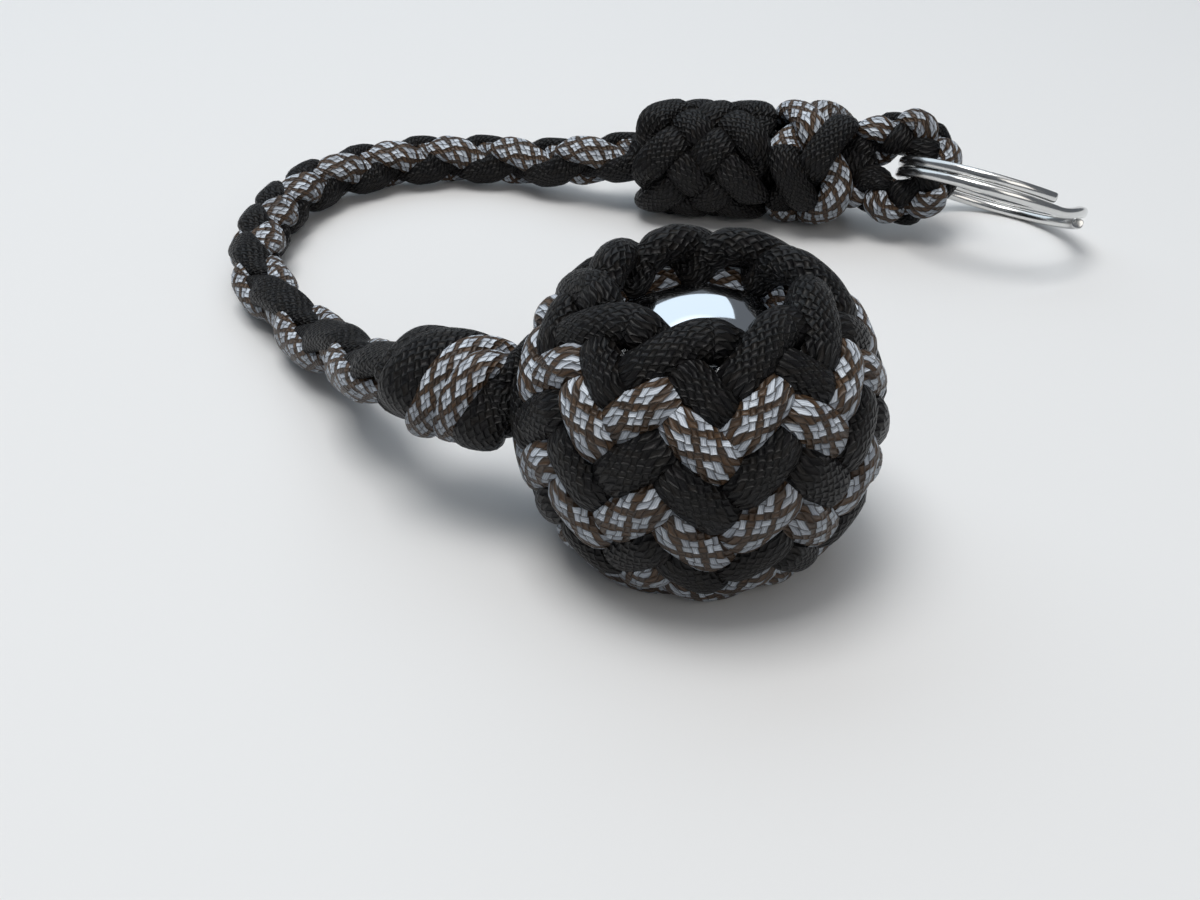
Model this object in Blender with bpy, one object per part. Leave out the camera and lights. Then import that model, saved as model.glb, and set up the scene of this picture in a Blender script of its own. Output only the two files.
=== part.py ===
"""Paracord keychain: a steel ball woven into a two-cord cover, a collar knot, a braided
lanyard, a woven band, a pair knot, a braided eye and a split ring.

Lengths are in metres. The keychain is laid out about the ball's centre, with X to the right,
Y to the back and Z up, and is moved at the end so that the origin is under its middle.
"""

import math

import bmesh
import bpy
import numpy as np
from mathutils import Matrix, Vector

mm = 0.001

# Steel ball
BALL_DIAMETER = 25.4 * mm
TOUCH_GAP = 0.3 * mm

# Cord as it lies in the cover: it is fat where it runs on top and squeezed where it dives
OVER_WIDTH = 2.3 * mm
OVER_THICKNESS = 2.1 * mm
UNDER_WIDTH = 1.3 * mm
UNDER_THICKNESS = 1.15 * mm
CROSSING_GAP = 2.75 * mm
WEAVE_GAP = 1.4 * mm
LEAST_WIDTH = 1.0 * mm

# Cover weave: columns go round the ball, and rows climb it
BIGHTS = 9
COLUMNS_PER_BIGHT = 4
LEG_COLUMNS = 14
BLACK_TOP_ROW = 8
PATTERNED_TOP_ROW = 6
ROW_REACH_DEG = 62.0
ROW_STEP_DEG = 8.2
FIRST_COLUMN_DEG = -58.8
NECK_COLUMN = 10
NECK_STEPS = {"black": (22.04, 272.7), "patterned": (22.5, 272.3)}
NECK_PULL = {"black": 0.32, "patterned": 0.55}
NECK_LEAD = 0.7 * mm
NECK_POINTS = 3
RIM_ROUNDING = 1.6
RIM_LEVELS = (0.9, 1.0, 0.2)
TIGHT_LEVEL = 1.2
BASE_CUT = 0.26 * mm

# Collar knot on the ball's left side
COLLAR_BASE = (-20.3 * mm, 2.8 * mm, 0.3 * mm)
COLLAR_LENGTH = 11.0 * mm
COLLAR_STRANDS = 4
CORE_STRAND_DIAMETER = 2.0 * mm
CORE_STRAND_GAP = 0.6 * mm
COLLAR_STRAND_WIDTH = 2.5 * mm
COLLAR_STRAND_THICKNESS = 2.4 * mm
COLLAR_STRAND_POINTS = 9
COLLAR_PITCH = 13.3 * mm
COLLAR_TOP_ANGLE_DEG = 50.0
COLLAR_BALL_CLEARANCE = 0.2 * mm

# Lanyard braid: its route about the ball's centre, in millimetres above the table
BRAID_DIAMETER = 8.2 * mm
LANYARD_ROUTE = (
    (-30.2, 7.6, 14.0),
    (-34.4, 13.2, 11.6),
    (-39.4, 23.0, 8.0),
    (-44.0, 31.0, 5.4),
    (-48.6, 38.4, 4.3),
    (-53.6, 46.6, 4.2),
    (-57.2, 54.6, 4.2),
    (-58.4, 64.0, 4.2),
    (-57.4, 74.6, 4.2),
    (-53.8, 83.6, 4.2),
    (-46.6, 90.4, 4.2),
    (-37.4, 93.8, 4.2),
    (-27.0, 93.6, 4.3),
    (-17.6, 89.6, 5.4),
    (-10.6, 86.4, 7.2),
    (-3.8, 84.7, 8.4),
)
ROUTE_STEP = 8.0 * mm
LANYARD_LEAD = 2.2 * mm

# Woven band and pair knot, on one axis, with the band's middle above the table
END_AXIS = (0.9807, -0.1919, 0.0373)
BAND_MIDDLE = (6.3 * mm, 82.8 * mm, 8.75 * mm)
END_CORE_DIAMETER = 7.4 * mm
BAND_LENGTH = 20.2 * mm
SEAM_SHARE = 0.035
RIM_CLEARANCE = 0.4 * mm
BAND_LEADS = 5
BAND_BIGHTS = 6
BAND_CORD_WIDTH = 2.0 * mm
BAND_CORD_THICKNESS = 1.9 * mm
BAND_LAYER_GAP = 1.1 * mm
BAND_LEVEL_HOLD = 1.1
BAND_PHASE_DEG = 0.0
BAND_CROSSING_POINTS = 3
KNOT_LENGTH = 12.0 * mm
KNOT_LEADS = 3
KNOT_BIGHTS = 4
KNOT_CORD_WIDTH = 3.0 * mm
KNOT_CORD_THICKNESS = 2.2 * mm
KNOT_LAYER_GAP = 0.7 * mm
KNOT_LEVEL_HOLD = 1.5
KNOT_PHASE_DEG = 101.5
KNOT_FIRST_LEG = 1
KNOT_CROSSING_POINTS = 3
KNOT_STRAND_LEGS = 2

# Braided eye, round the split ring
EYE_BRAID_DIAMETER = 6.2 * mm
EYE_LOOP_RADIUS = 5.5 * mm
EYE_LEG_GAP = 0.45 * mm
EYE_ARC_DEG = 108.0
EYE_ARC_POINTS = 15
EYE_LEAD = 1.1 * mm
EYE_PULL = 0.55
EYE_HOLE = (34.8 * mm, 75.6 * mm, 10.2 * mm)

# Split ring
RING_DIAMETER = 28.0 * mm
RING_WIRE_WIDTH = 1.6 * mm
RING_WIRE_THICKNESS = 1.35 * mm
RING_COIL_GAP = 0.42 * mm
RING_OUTWARD = (0.940, -0.291, -0.178)
RING_THROUGH = (0.190, 0.872, -0.451)
RING_START_DEG = 178.0
RING_JOGGLE_DEG = 492.0
JOGGLE_LENGTH_DEG = 40.0
RING_END_DEG = 846.0
RING_POINTS = 90

# A cord is measured against its own stretches that lie at least this many widths along it
OWN_STRETCH = 3.5

BLACK = (0.020, 0.019, 0.020, 1.0)
PATTERNED = (0.33, 0.33, 0.34, 1.0)
STEEL = (0.72, 0.73, 0.75, 1.0)
NICKEL = (0.66, 0.64, 0.60, 1.0)


def clear_scene():
    """Removes whatever the scene holds."""
    for thing in list(bpy.data.objects):
        bpy.data.objects.remove(thing)


def unit(vector):
    """The same direction, one long."""
    vector = np.asarray(vector, float)
    return vector / np.linalg.norm(vector)


def material(name, colour, roughness, metallic=0.0):
    """A plain finish for one sub-part."""
    made = bpy.data.materials.new(name)
    made.use_nodes = True
    shader = made.node_tree.nodes["Principled BSDF"]
    shader.inputs["Base Color"].default_value = colour
    shader.inputs["Roughness"].default_value = roughness
    shader.inputs["Metallic"].default_value = metallic
    return made


def add_mesh(name, mesh, finish):
    """Puts a mesh in the scene as one named sub-part."""
    mesh.materials.append(finish)
    mesh.shade_smooth()
    mesh.set_sharp_from_angle(angle=math.radians(50))
    thing = bpy.data.objects.new(name, mesh)
    bpy.context.scene.collection.objects.link(thing)
    return thing


def directions(line):
    """The direction of travel at each point of a line."""
    return np.array([unit(step) for step in np.gradient(line, axis=0)])


def section_axes(line, outward):
    """Each point's sideways and outward axes, square to the line."""
    along = directions(line)
    out = outward - np.sum(outward * along, axis=1)[:, None] * along
    out = out / np.linalg.norm(out, axis=1)[:, None]
    return np.cross(along, out), out


def tube(name, line, outward, widths, thicknesses, finish, sides=6):
    """A closed tube along a line: an oval section, thick along outward and wide across it."""
    line = np.asarray(line, float)
    across, out = section_axes(line, np.broadcast_to(outward, line.shape))
    turn = 2 * math.pi * np.arange(sides) / sides
    flat = 1 / math.cos(math.pi / sides) if sides == 6 else 1.0
    halves = 0.5 * np.broadcast_to(widths, len(line)), 0.5 * np.broadcast_to(thicknesses, len(line))
    shape = bmesh.new()
    rings = []
    for centre, side, up, half_width, half_thick in zip(line, across, out, *halves):
        rim = centre + np.outer(np.cos(turn), side) * half_width
        rim = rim + np.outer(np.sin(turn), up) * half_thick * flat
        rings.append([shape.verts.new(point) for point in rim])
    for first, second in zip(rings, rings[1:]):
        for k in range(sides):
            after = (k + 1) % sides
            shape.faces.new((first[k], first[after], second[after], second[k]))
    shape.faces.new(rings[0][::-1])
    shape.faces.new(rings[-1])
    bmesh.ops.recalc_face_normals(shape, faces=shape.faces)
    mesh = bpy.data.meshes.new(name)
    shape.to_mesh(mesh)
    shape.free()
    return add_mesh(name, mesh, finish)


def cut_flat(thing, height):
    """Cuts a piece off flat below a height, and closes it there."""
    shape = bmesh.new()
    shape.from_mesh(thing.data)
    everything = [*shape.verts, *shape.edges, *shape.faces]
    cut = bmesh.ops.bisect_plane(
        shape, geom=everything, dist=1e-7, plane_co=(0, 0, height), plane_no=(0, 0, -1), clear_outer=True
    )
    edges = [part for part in cut["geom_cut"] if isinstance(part, bmesh.types.BMEdge)]
    bmesh.ops.edgeloop_fill(shape, edges=edges)
    bmesh.ops.recalc_face_normals(shape, faces=shape.faces)
    shape.to_mesh(thing.data)
    shape.free()


def smooth_route(points, step):
    """Points a step apart on the smooth curve through a route's own points."""
    points = np.asarray(points, float)
    padded = np.vstack([2 * points[0] - points[1], points, 2 * points[-1] - points[-2]])
    dense = []
    for a, b, c, d in zip(padded, padded[1:], padded[2:], padded[3:]):
        for t in np.arange(0, 1, 0.05):
            curve = 2 * b + (c - a) * t + (2 * a - 5 * b + 4 * c - d) * t**2
            dense.append(0.5 * (curve + (3 * b - a - 3 * c + d) * t**3))
    dense = np.array(dense + [points[-1]])
    along = np.concatenate([[0], np.cumsum(np.linalg.norm(np.diff(dense, axis=0), axis=1))])
    places = np.linspace(0, along[-1], max(2, round(along[-1] / step) + 1))
    return np.stack([np.interp(places, along, dense[:, axis]) for axis in range(3)], axis=1), along[-1]


def least_gap(name, line, outward, widths, thicknesses):
    """Prints the least gap between a cord and its own other turns, from its middle line and section."""
    across, out = section_axes(line, outward)
    along = np.concatenate([[0], np.cumsum(np.linalg.norm(np.diff(line, axis=0), axis=1))])
    turn_length = OWN_STRETCH * widths.max()
    best = math.inf
    for i in range(len(line)):
        others = np.abs(along - along[i]) > turn_length
        if not others.any():
            continue
        apart = line[others] - line[i]
        far = np.linalg.norm(apart, axis=1)
        towards = apart / far[:, None]
        reach = [
            np.hypot(
                widths[k] * np.sum(towards * across[k], axis=1),
                thicknesses[k] * np.sum(towards * out[k], axis=1),
            )
            for k in (np.flatnonzero(others), i)
        ]
        best = min(best, float((far - 0.5 * (reach[0] + reach[1])).min()))
    print(f"{name}: least gap to itself {best / mm:.2f} mm")


def latitude(row):
    """The latitude of a weave row, counted from the ball's equator; rows draw together at the rims."""
    return np.radians(ROW_REACH_DEG * np.sin(np.radians(ROW_STEP_DEG * row)))


def on_ball(column, row, radius):
    """The point of the cover at a weave column and row, at a radius from the ball's centre."""
    column_step = 360.0 / (BIGHTS * COLUMNS_PER_BIGHT)
    azimuth = np.radians(column_step * column + FIRST_COLUMN_DEG)
    height = latitude(row)
    flat = np.cos(height)
    direction = np.stack([flat * np.sin(azimuth), -flat * np.cos(azimuth), np.sin(height)], axis=-1)
    return direction * np.asarray(radius)[..., None]


COVER_INSIDE = BALL_DIAMETER / 2 + TOUCH_GAP
UNDER_RADIUS = COVER_INSIDE + UNDER_THICKNESS / 2
OVER_RADIUS = COVER_INSIDE + UNDER_THICKNESS + CROSSING_GAP + OVER_THICKNESS / 2


def weave_level(step, outer_rim):
    """How far over (1) or under (-1) a cord runs, a whole number of columns after its top bight."""
    both_legs = 2 * LEG_COLUMNS
    step = step % both_legs
    bight = 0 if outer_rim == "black" else LEG_COLUMNS
    for place, level in zip((bight, bight - 1, bight + 1), RIM_LEVELS):
        if step == place % both_legs:
            return level
    if step in (LEG_COLUMNS - 2, both_legs - 2):
        return TIGHT_LEVEL
    over = step % COLUMNS_PER_BIGHT in ((3, 0) if step < LEG_COLUMNS else (1, 2))
    return 1.0 if over and step not in (0, LEG_COLUMNS) else -1.0


def cover_line(colour):
    """A cover cord's middle line, with its levels: nine trips down and up, begun and ended at the neck."""
    top = BLACK_TOP_ROW if colour == "black" else PATTERNED_TOP_ROW
    begin, end = NECK_STEPS[colour]
    whole = np.arange(math.floor(begin), math.ceil(end) + 1)
    steps = np.concatenate([[begin], whole[1:-1], [end]])
    levels = np.interp(steps, whole, [weave_level(int(step), colour) for step in whole])
    within = steps % (2 * LEG_COLUMNS)
    from_top = np.minimum(within, 2 * LEG_COLUMNS - within).astype(float)
    from_bight = np.minimum(from_top, LEG_COLUMNS - from_top)
    rounded = np.where(
        from_bight < RIM_ROUNDING, from_bight**2 / (2 * RIM_ROUNDING) + RIM_ROUNDING / 2, from_bight
    )
    from_top = np.where(from_top < LEG_COLUMNS / 2, rounded, LEG_COLUMNS - rounded)
    radius = UNDER_RADIUS + (OVER_RADIUS - UNDER_RADIUS) * (levels + 1) / 2
    return on_ball(NECK_COLUMN + steps, top - from_top, radius), levels, top - from_top


def neck_places():
    """Where the collar's four inner strands stand about its axis: two black above two patterned."""
    apart = (CORE_STRAND_DIAMETER + CORE_STRAND_GAP) / 2
    along, front, up = collar_axes()
    return {
        ("black", "end"): apart * (up - front),
        ("black", "start"): apart * (up + front),
        ("patterned", "end"): apart * (-up - front),
        ("patterned", "start"): apart * (-up + front),
    }


def collar_axes():
    """The collar's axis, away from the ball, with the way to the front and up, square to it."""
    base = np.array(COLLAR_BASE)
    far_end = np.array(LANYARD_ROUTE[0]) * mm - np.array([0, 0, ball_height()])
    along = unit(far_end - base)
    front = unit(np.cross(along, (0, 0, 1)))
    front = front if front[1] < 0 else -front
    return along, front, unit(np.cross(front, along)) * (1 if np.cross(front, along)[2] > 0 else -1)


def ball_height():
    """The ball centre's height over the table, where the cover stands on its lower rim, cut flat."""
    lowest = max(-(cover_line(colour)[0][:, 2]).min() for colour in ("black", "patterned"))
    return lowest + OVER_THICKNESS / 2 - BASE_CUT


def bend(start, start_way, end, end_way, count, pull):
    """Points on a smooth bend between two ends, without the ends themselves."""
    reach = pull * np.linalg.norm(end - start)
    a, b, c, d = start, start + reach * start_way, end - reach * end_way, end
    t = np.linspace(0, 1, count + 2)[1:-1, None]
    return (1 - t) ** 3 * a + 3 * t * (1 - t) ** 2 * b + 3 * t**2 * (1 - t) * c + t**3 * d


def cover_shares(rows, radius, levels):
    """How wide a cover cord may be: its own width, or less where the rows crowd towards a rim."""
    height = latitude(rows)
    column_step = np.radians(360.0 / (BIGHTS * COLUMNS_PER_BIGHT)) * np.cos(height) * radius
    row_step = np.abs(latitude(rows + 0.5) - latitude(rows - 0.5)) * radius
    apart = 2 * column_step * row_step / np.hypot(column_step, row_step)
    wanted = UNDER_WIDTH + (OVER_WIDTH - UNDER_WIDTH) * (levels + 1) / 2
    return np.clip(apart - WEAVE_GAP, LEAST_WIDTH, wanted)


def cover_cord(colour):
    """A cover cord from the neck, round the ball and back: its line, outward ways, widths, thicknesses."""
    along, _, _ = collar_axes()
    lead = NECK_LEAD * along
    entry = np.array(COLLAR_BASE) + neck_places()[colour, "start"]
    leave = np.array(COLLAR_BASE) + neck_places()[colour, "end"]
    line, levels, rows = cover_line(colour)
    ways = directions(line)
    widths = cover_shares(rows, np.linalg.norm(line, axis=1), levels)
    thicknesses = UNDER_THICKNESS + (OVER_THICKNESS - UNDER_THICKNESS) * (levels + 1) / 2
    first = bend(entry - lead, -along, line[0], ways[0], NECK_POINTS, NECK_PULL[colour])
    last = bend(line[-1], ways[-1], leave - lead, along, NECK_POINTS, NECK_PULL[colour])
    added = NECK_POINTS + 2
    neck = np.full(added, CORE_STRAND_DIAMETER)
    outward = np.vstack([[line[0]] * added, line, [line[-1]] * added])
    line = np.vstack([entry, entry - lead, first, line, last, leave - lead, leave])
    widths = np.concatenate([neck, widths, neck])
    thicknesses = np.concatenate([neck, thicknesses, neck])
    return line, outward, widths, thicknesses


def build_cover(finishes):
    """The two cover cords, each one unbroken tube from the neck, round the ball and back to it."""
    for colour in ("black", "patterned"):
        cord = cover_cord(colour)
        least_gap(f"cover_{colour}_cord", *cord)
        made = tube(f"cover_{colour}_cord", *cord, finishes[colour])
        if colour == "patterned":
            cut_flat(made, -ball_height())


def build_ball(finishes):
    """The steel ball."""
    shape = bmesh.new()
    bmesh.ops.create_uvsphere(shape, u_segments=32, v_segments=20, radius=BALL_DIAMETER / 2)
    mesh = bpy.data.meshes.new("steel_ball")
    shape.to_mesh(mesh)
    shape.free()
    add_mesh("steel_ball", mesh, finishes["steel"])


def build_collar(finishes):
    """The collar knot: four wraps that wind round four straight strands."""
    base = np.array(COLLAR_BASE)
    along, front, up = collar_axes()
    names = {("black", "end"): 1, ("black", "start"): 2, ("patterned", "end"): 1, ("patterned", "start"): 2}
    for (colour, end), place in neck_places().items():
        ends = [base + place + along * TOUCH_GAP, base + place + along * COLLAR_LENGTH]
        line = np.linspace(*ends, 4)
        size = CORE_STRAND_DIAMETER
        tube(f"neck_{colour}_strand_{names[colour, end]}", line, up, size, size, finishes[colour])
    bundle = (CORE_STRAND_DIAMETER + CORE_STRAND_GAP) / math.sqrt(2) + CORE_STRAND_DIAMETER / 2
    radius = bundle + TOUCH_GAP + COLLAR_STRAND_THICKNESS / 2
    first = COLLAR_BALL_CLEARANCE + COLLAR_STRAND_WIDTH / 2
    travel = COLLAR_LENGTH - COLLAR_STRAND_WIDTH / 2 - first
    order = (("patterned", 2), ("patterned", 1), ("black", 2), ("black", 1))
    share = np.linspace(0, 1, COLLAR_STRAND_POINTS)
    for k, (colour, number) in enumerate(order):
        turned = math.radians(COLLAR_TOP_ANGLE_DEG) - 2 * math.pi * k / COLLAR_STRANDS
        angles = turned - 2 * math.pi * share * travel / COLLAR_PITCH
        outward = np.outer(np.cos(angles), up) + np.outer(np.sin(angles), -front)
        line = base + np.outer(first + share * travel, along) + radius * outward
        name = f"collar_{colour}_wrap_{number}"
        tube(name, line, outward, COLLAR_STRAND_WIDTH, COLLAR_STRAND_THICKNESS, finishes[colour])


def build_lanyard(finishes):
    """The free braid, as one plain round cord along its route."""
    end_face = end_places()[0] - TOUCH_GAP * unit(END_AXIS)
    along, _, _ = collar_axes()
    collar_face = np.array(COLLAR_BASE) + along * (COLLAR_LENGTH + TOUCH_GAP)
    lift = np.array([0, 0, ball_height()])
    route = np.array(LANYARD_ROUTE) * mm - lift
    first = collar_face + LANYARD_LEAD * along
    last = end_face - LANYARD_LEAD * unit(END_AXIS)
    route = np.vstack([first, route[1:-1], last])
    places, length = smooth_route(route, ROUTE_STEP)
    places = np.vstack([collar_face, places, end_face])
    length += 2 * LANYARD_LEAD
    print(f"lanyard_braid: free length {length / mm:.1f} mm")
    curve = bpy.data.curves.new("lanyard_braid", "CURVE")
    curve.dimensions = "3D"
    curve.bevel_depth = BRAID_DIAMETER / 2
    curve.bevel_resolution = 2
    curve.use_fill_caps = True
    spline = curve.splines.new("POLY")
    spline.points.add(len(places) - 1)
    for point, place in zip(spline.points, places):
        point.co = (*place, 1)
    curve.materials.append(finishes["black"])
    thing = bpy.data.objects.new("lanyard_braid", curve)
    bpy.context.scene.collection.objects.link(thing)


def end_places():
    """Where the inner core begins, where band and knot meet, and where the knot ends."""
    axis = unit(END_AXIS)
    middle = np.array(BAND_MIDDLE) - np.array([0, 0, ball_height()])
    meet = middle + axis * BAND_LENGTH / 2
    return middle - axis * BAND_LENGTH / 2, meet, meet + axis * KNOT_LENGTH


def eye_axes():
    """The middle of the eye's hole, the way out to it from the knot, the way up and its normal."""
    centre = np.array(EYE_HOLE) - np.array([0, 0, ball_height()])
    through = unit(RING_THROUGH)
    outward = centre - end_places()[2]
    outward = unit(outward - np.dot(outward, through) * through)
    up = np.cross(outward, through)
    return centre, outward, up if up[2] > 0 else -up, through


def build_eye(finishes):
    """The braided eye: out of the knot, round the hole and back beside itself."""
    centre, outward, up, through = eye_axes()
    leg = (EYE_BRAID_DIAMETER + EYE_LEG_GAP) / 2
    turned = np.radians(np.linspace(EYE_ARC_DEG, -EYE_ARC_DEG, EYE_ARC_POINTS))
    arc = centre + EYE_LOOP_RADIUS * (np.outer(np.cos(turned), outward) + np.outer(np.sin(turned), up))
    axis = unit(END_AXIS)
    root = end_places()[2] + TOUCH_GAP * axis
    sideways = unit(up - np.dot(up, axis) * axis)
    start, end = root + leg * sideways, root - leg * sideways
    lead = EYE_LEAD * axis
    out = bend(start + lead, axis, arc[0], unit(arc[1] - arc[0]), 2, EYE_PULL)
    back = bend(arc[-1], unit(arc[-1] - arc[-2]), end + lead, -axis, 2, EYE_PULL)
    line = np.vstack([start, start + lead, out, arc, back, end + lead, end])
    size = np.full(len(line), EYE_BRAID_DIAMETER)
    facing = np.broadcast_to(through, line.shape)
    least_gap("eye_braid", line, facing, size, size)
    tube("eye_braid", line, through, size, size, finishes["black"], sides=12)


def woven_line(leads, bights, length, inner, outer, phase, hold, over_first, first_leg, legs, points):
    """A cord's line in a woven band: rim to rim and back, over and under by turns, or under and over."""
    stops = np.concatenate([[0.0], np.arange(1, leads) / leads, [1.0]])
    phases = np.concatenate([[0.5], np.arange(1, leads), [leads - 0.5]])
    step = 1 / (points * leads)
    u = first_leg + np.arange(0, legs + step / 2, step)
    u[0], u[-1] = u[0] + SEAM_SHARE, u[-1] - SEAM_SHARE
    u = np.concatenate([u[:1], [u[0] + 0.5 * SEAM_SHARE], u[1:-1], [u[-1] - 0.5 * SEAM_SHARE], u[-1:]])
    level = np.cos(math.pi * np.interp(u - np.floor(u), stops, phases))
    level = np.clip(hold * level, -1, 1) * (-1 if over_first else 1)
    angle = phase + math.pi * leads / bights * u
    travel = (np.cos(math.pi * u) + np.cos(3 * math.pi * u) / 9) * 0.9 * length / 2
    radius = inner + (outer - inner) * (level + 1) / 2
    return travel, angle, radius


def build_woven(name, middle, size, finish):
    """One cord of the woven band or of the pair knot."""
    travel, angle, radius = woven_line(**size["path"])
    axis = unit(END_AXIS)
    side = unit(np.cross(axis, (0, 0, 1)))
    outward = np.outer(np.cos(angle), (0, 0, 1)) + np.outer(np.sin(angle), side)
    line = middle + np.outer(travel, axis) + radius[:, None] * outward
    widths = np.full(len(line), size["width"])
    thicknesses = np.full(len(line), size["thickness"])
    least_gap(name, line, outward, widths, thicknesses)
    return tube(name, line, outward, widths, thicknesses, finish)


def build_band_and_knot(finishes):
    """The black woven band, the two-colour knot beside it and the core inside both."""
    start, meet, end = end_places()
    line = np.linspace(start, end, 5)
    tube("inner_core", line, (0, 0, 1), END_CORE_DIAMETER, END_CORE_DIAMETER, finishes["black"], sides=12)
    inner = END_CORE_DIAMETER / 2 + TOUCH_GAP + BAND_CORD_THICKNESS / 2
    outer = inner + BAND_CORD_THICKNESS + BAND_LAYER_GAP
    path = {
        "leads": BAND_LEADS,
        "bights": BAND_BIGHTS,
        "length": BAND_LENGTH - BAND_CORD_WIDTH - RIM_CLEARANCE,
        "inner": inner,
        "outer": outer,
        "phase": math.radians(BAND_PHASE_DEG),
        "hold": BAND_LEVEL_HOLD,
        "over_first": False,
        "first_leg": 0,
        "legs": 2 * BAND_BIGHTS,
        "points": BAND_CROSSING_POINTS,
    }
    size = {"path": path, "width": BAND_CORD_WIDTH, "thickness": BAND_CORD_THICKNESS}
    band = build_woven("woven_band_cord", (start + meet) / 2, size, finishes["black"])
    cut_flat(band, -ball_height())
    inner = END_CORE_DIAMETER / 2 + TOUCH_GAP + KNOT_CORD_THICKNESS / 2
    outer = inner + KNOT_CORD_THICKNESS + KNOT_LAYER_GAP
    strands = (("black", 1), ("patterned", 1), ("black", 2), ("patterned", 2))
    for turn, (colour, number) in enumerate(strands):
        path = {
            "leads": KNOT_LEADS,
            "bights": KNOT_BIGHTS,
            "length": KNOT_LENGTH - KNOT_CORD_WIDTH - RIM_CLEARANCE,
            "inner": inner,
            "outer": outer,
            "phase": math.radians(KNOT_PHASE_DEG),
            "hold": KNOT_LEVEL_HOLD,
            "over_first": True,
            "first_leg": KNOT_FIRST_LEG + KNOT_STRAND_LEGS * turn,
            "legs": KNOT_STRAND_LEGS,
            "points": KNOT_CROSSING_POINTS,
        }
        size = {"path": path, "width": KNOT_CORD_WIDTH, "thickness": KNOT_CORD_THICKNESS}
        build_woven(f"knot_{colour}_strand_{number}", (meet + end) / 2, size, finishes[colour])


def build_ring(finishes):
    """The split ring: one flat-sided wire in two coils, stepping from one to the other."""
    outward = unit(RING_OUTWARD)
    through = unit(np.array(RING_THROUGH) - np.dot(RING_THROUGH, outward) * outward)
    normal = np.cross(outward, through)
    radius = (RING_DIAMETER - RING_WIRE_WIDTH) / 2
    centre = np.array(EYE_HOLE) - np.array([0, 0, ball_height()]) + radius * outward
    degrees = np.linspace(RING_START_DEG, RING_END_DEG, RING_POINTS)
    turned = np.radians(degrees)
    stepped = np.clip((degrees - RING_JOGGLE_DEG) / JOGGLE_LENGTH_DEG, 0, 1)
    level = stepped * stepped * (3 - 2 * stepped) * 2 - 1
    line = centre - radius * (np.outer(np.cos(turned), outward) + np.outer(np.sin(turned), through))
    line = line + np.outer(level * (RING_WIRE_THICKNESS + RING_COIL_GAP) / 2, normal)
    facing = np.broadcast_to(normal, line.shape)
    widths = np.full(len(line), RING_WIRE_WIDTH)
    thicknesses = np.full(len(line), RING_WIRE_THICKNESS)
    least_gap("split_ring", line, facing, widths, thicknesses)
    tube("split_ring", line, facing, widths, thicknesses, finishes["nickel"], sides=8)


def settle():
    """Moves everything so that the origin lies under the middle of the solid pieces, on the table."""
    solids = [thing for thing in bpy.data.objects if thing.type == "MESH"]
    corners = np.array([tuple(vertex.co) for thing in solids for vertex in thing.data.vertices])
    middle = (corners.min(axis=0) + corners.max(axis=0)) / 2
    shift = Vector((-middle[0], -middle[1], ball_height()))
    hole = Vector(EYE_HOLE) - Vector((0, 0, ball_height()))
    for thing in solids:
        pivot = hole if thing.name == "split_ring" else Vector((0, 0, 0))
        thing.data.transform(Matrix.Translation(-pivot))
        thing.location = pivot + shift
    for point in bpy.data.objects["lanyard_braid"].data.splines[0].points:
        point.co = (*(Vector(point.co[:3]) + shift), 1)
    show("middle of the whole from the ball's centre, mm", middle)
    show("ball's centre, mm", np.array(shift))
    show("hole of the eye, mm", np.array(hole + shift))


def show(words, place):
    """Prints a place in millimetres."""
    print(words, [round(float(value) / mm, 2) for value in place])


def build():
    """Makes every piece of the keychain."""
    clear_scene()
    finishes = {
        "black": material("black_cord", BLACK, 0.75),
        "patterned": material("patterned_cord", PATTERNED, 0.7),
        "steel": material("polished_steel", STEEL, 0.05, 1.0),
        "nickel": material("nickel_plate", NICKEL, 0.15, 1.0),
    }
    build_ball(finishes)
    build_cover(finishes)
    build_collar(finishes)
    build_lanyard(finishes)
    build_band_and_knot(finishes)
    build_eye(finishes)
    build_ring(finishes)
    settle()


build()
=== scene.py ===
"""Looks of the keychain: a ball in a woven cover, a braid, two end knots and a split ring."""

import math
from functools import partial

import bpy
import numpy as np
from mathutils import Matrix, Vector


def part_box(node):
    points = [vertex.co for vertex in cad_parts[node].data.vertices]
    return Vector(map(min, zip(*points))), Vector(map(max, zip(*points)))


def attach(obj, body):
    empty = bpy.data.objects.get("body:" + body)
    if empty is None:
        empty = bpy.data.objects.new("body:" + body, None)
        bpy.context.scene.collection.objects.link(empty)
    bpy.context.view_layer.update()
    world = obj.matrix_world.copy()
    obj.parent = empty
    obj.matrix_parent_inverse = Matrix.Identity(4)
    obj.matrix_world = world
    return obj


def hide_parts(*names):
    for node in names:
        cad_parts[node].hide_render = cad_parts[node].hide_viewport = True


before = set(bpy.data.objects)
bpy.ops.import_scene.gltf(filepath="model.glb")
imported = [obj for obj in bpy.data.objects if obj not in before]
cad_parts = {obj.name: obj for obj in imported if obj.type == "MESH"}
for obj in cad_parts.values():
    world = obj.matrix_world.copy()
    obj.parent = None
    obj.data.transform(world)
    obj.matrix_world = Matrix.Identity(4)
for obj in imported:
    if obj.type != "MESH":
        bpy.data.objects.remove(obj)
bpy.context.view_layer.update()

# Table, camera and light.
# The keychain lies on a plain pale surface, seen from the front and from about a third of the way
# up to overhead. A wide lamp behind it stands for a window, and two small ones fill in.
mm = 0.001
BALL_LOW, BALL_HIGH = np.array(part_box("steel_ball"))
BALL = 0.5 * (BALL_LOW + BALL_HIGH)
CAMERA_PLACE = (-9.86, -118.97, 88.92)
CAMERA_PITCH_DEG = 33.5
CAMERA_NEAR = 5 * mm
SENSOR_MM = 36.0
LENS_MM = 41.76
FLOOR_HALF = 3.0
FLOOR_COLOUR = (0.80, 0.80, 0.80, 1.0)
FLOOR_SHADE = (0.25, 0.25, 0.25, 1.0)
FLOOR_ROUGHNESS = 0.9
SKY_EDGE = (0.80, 0.92)
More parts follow.
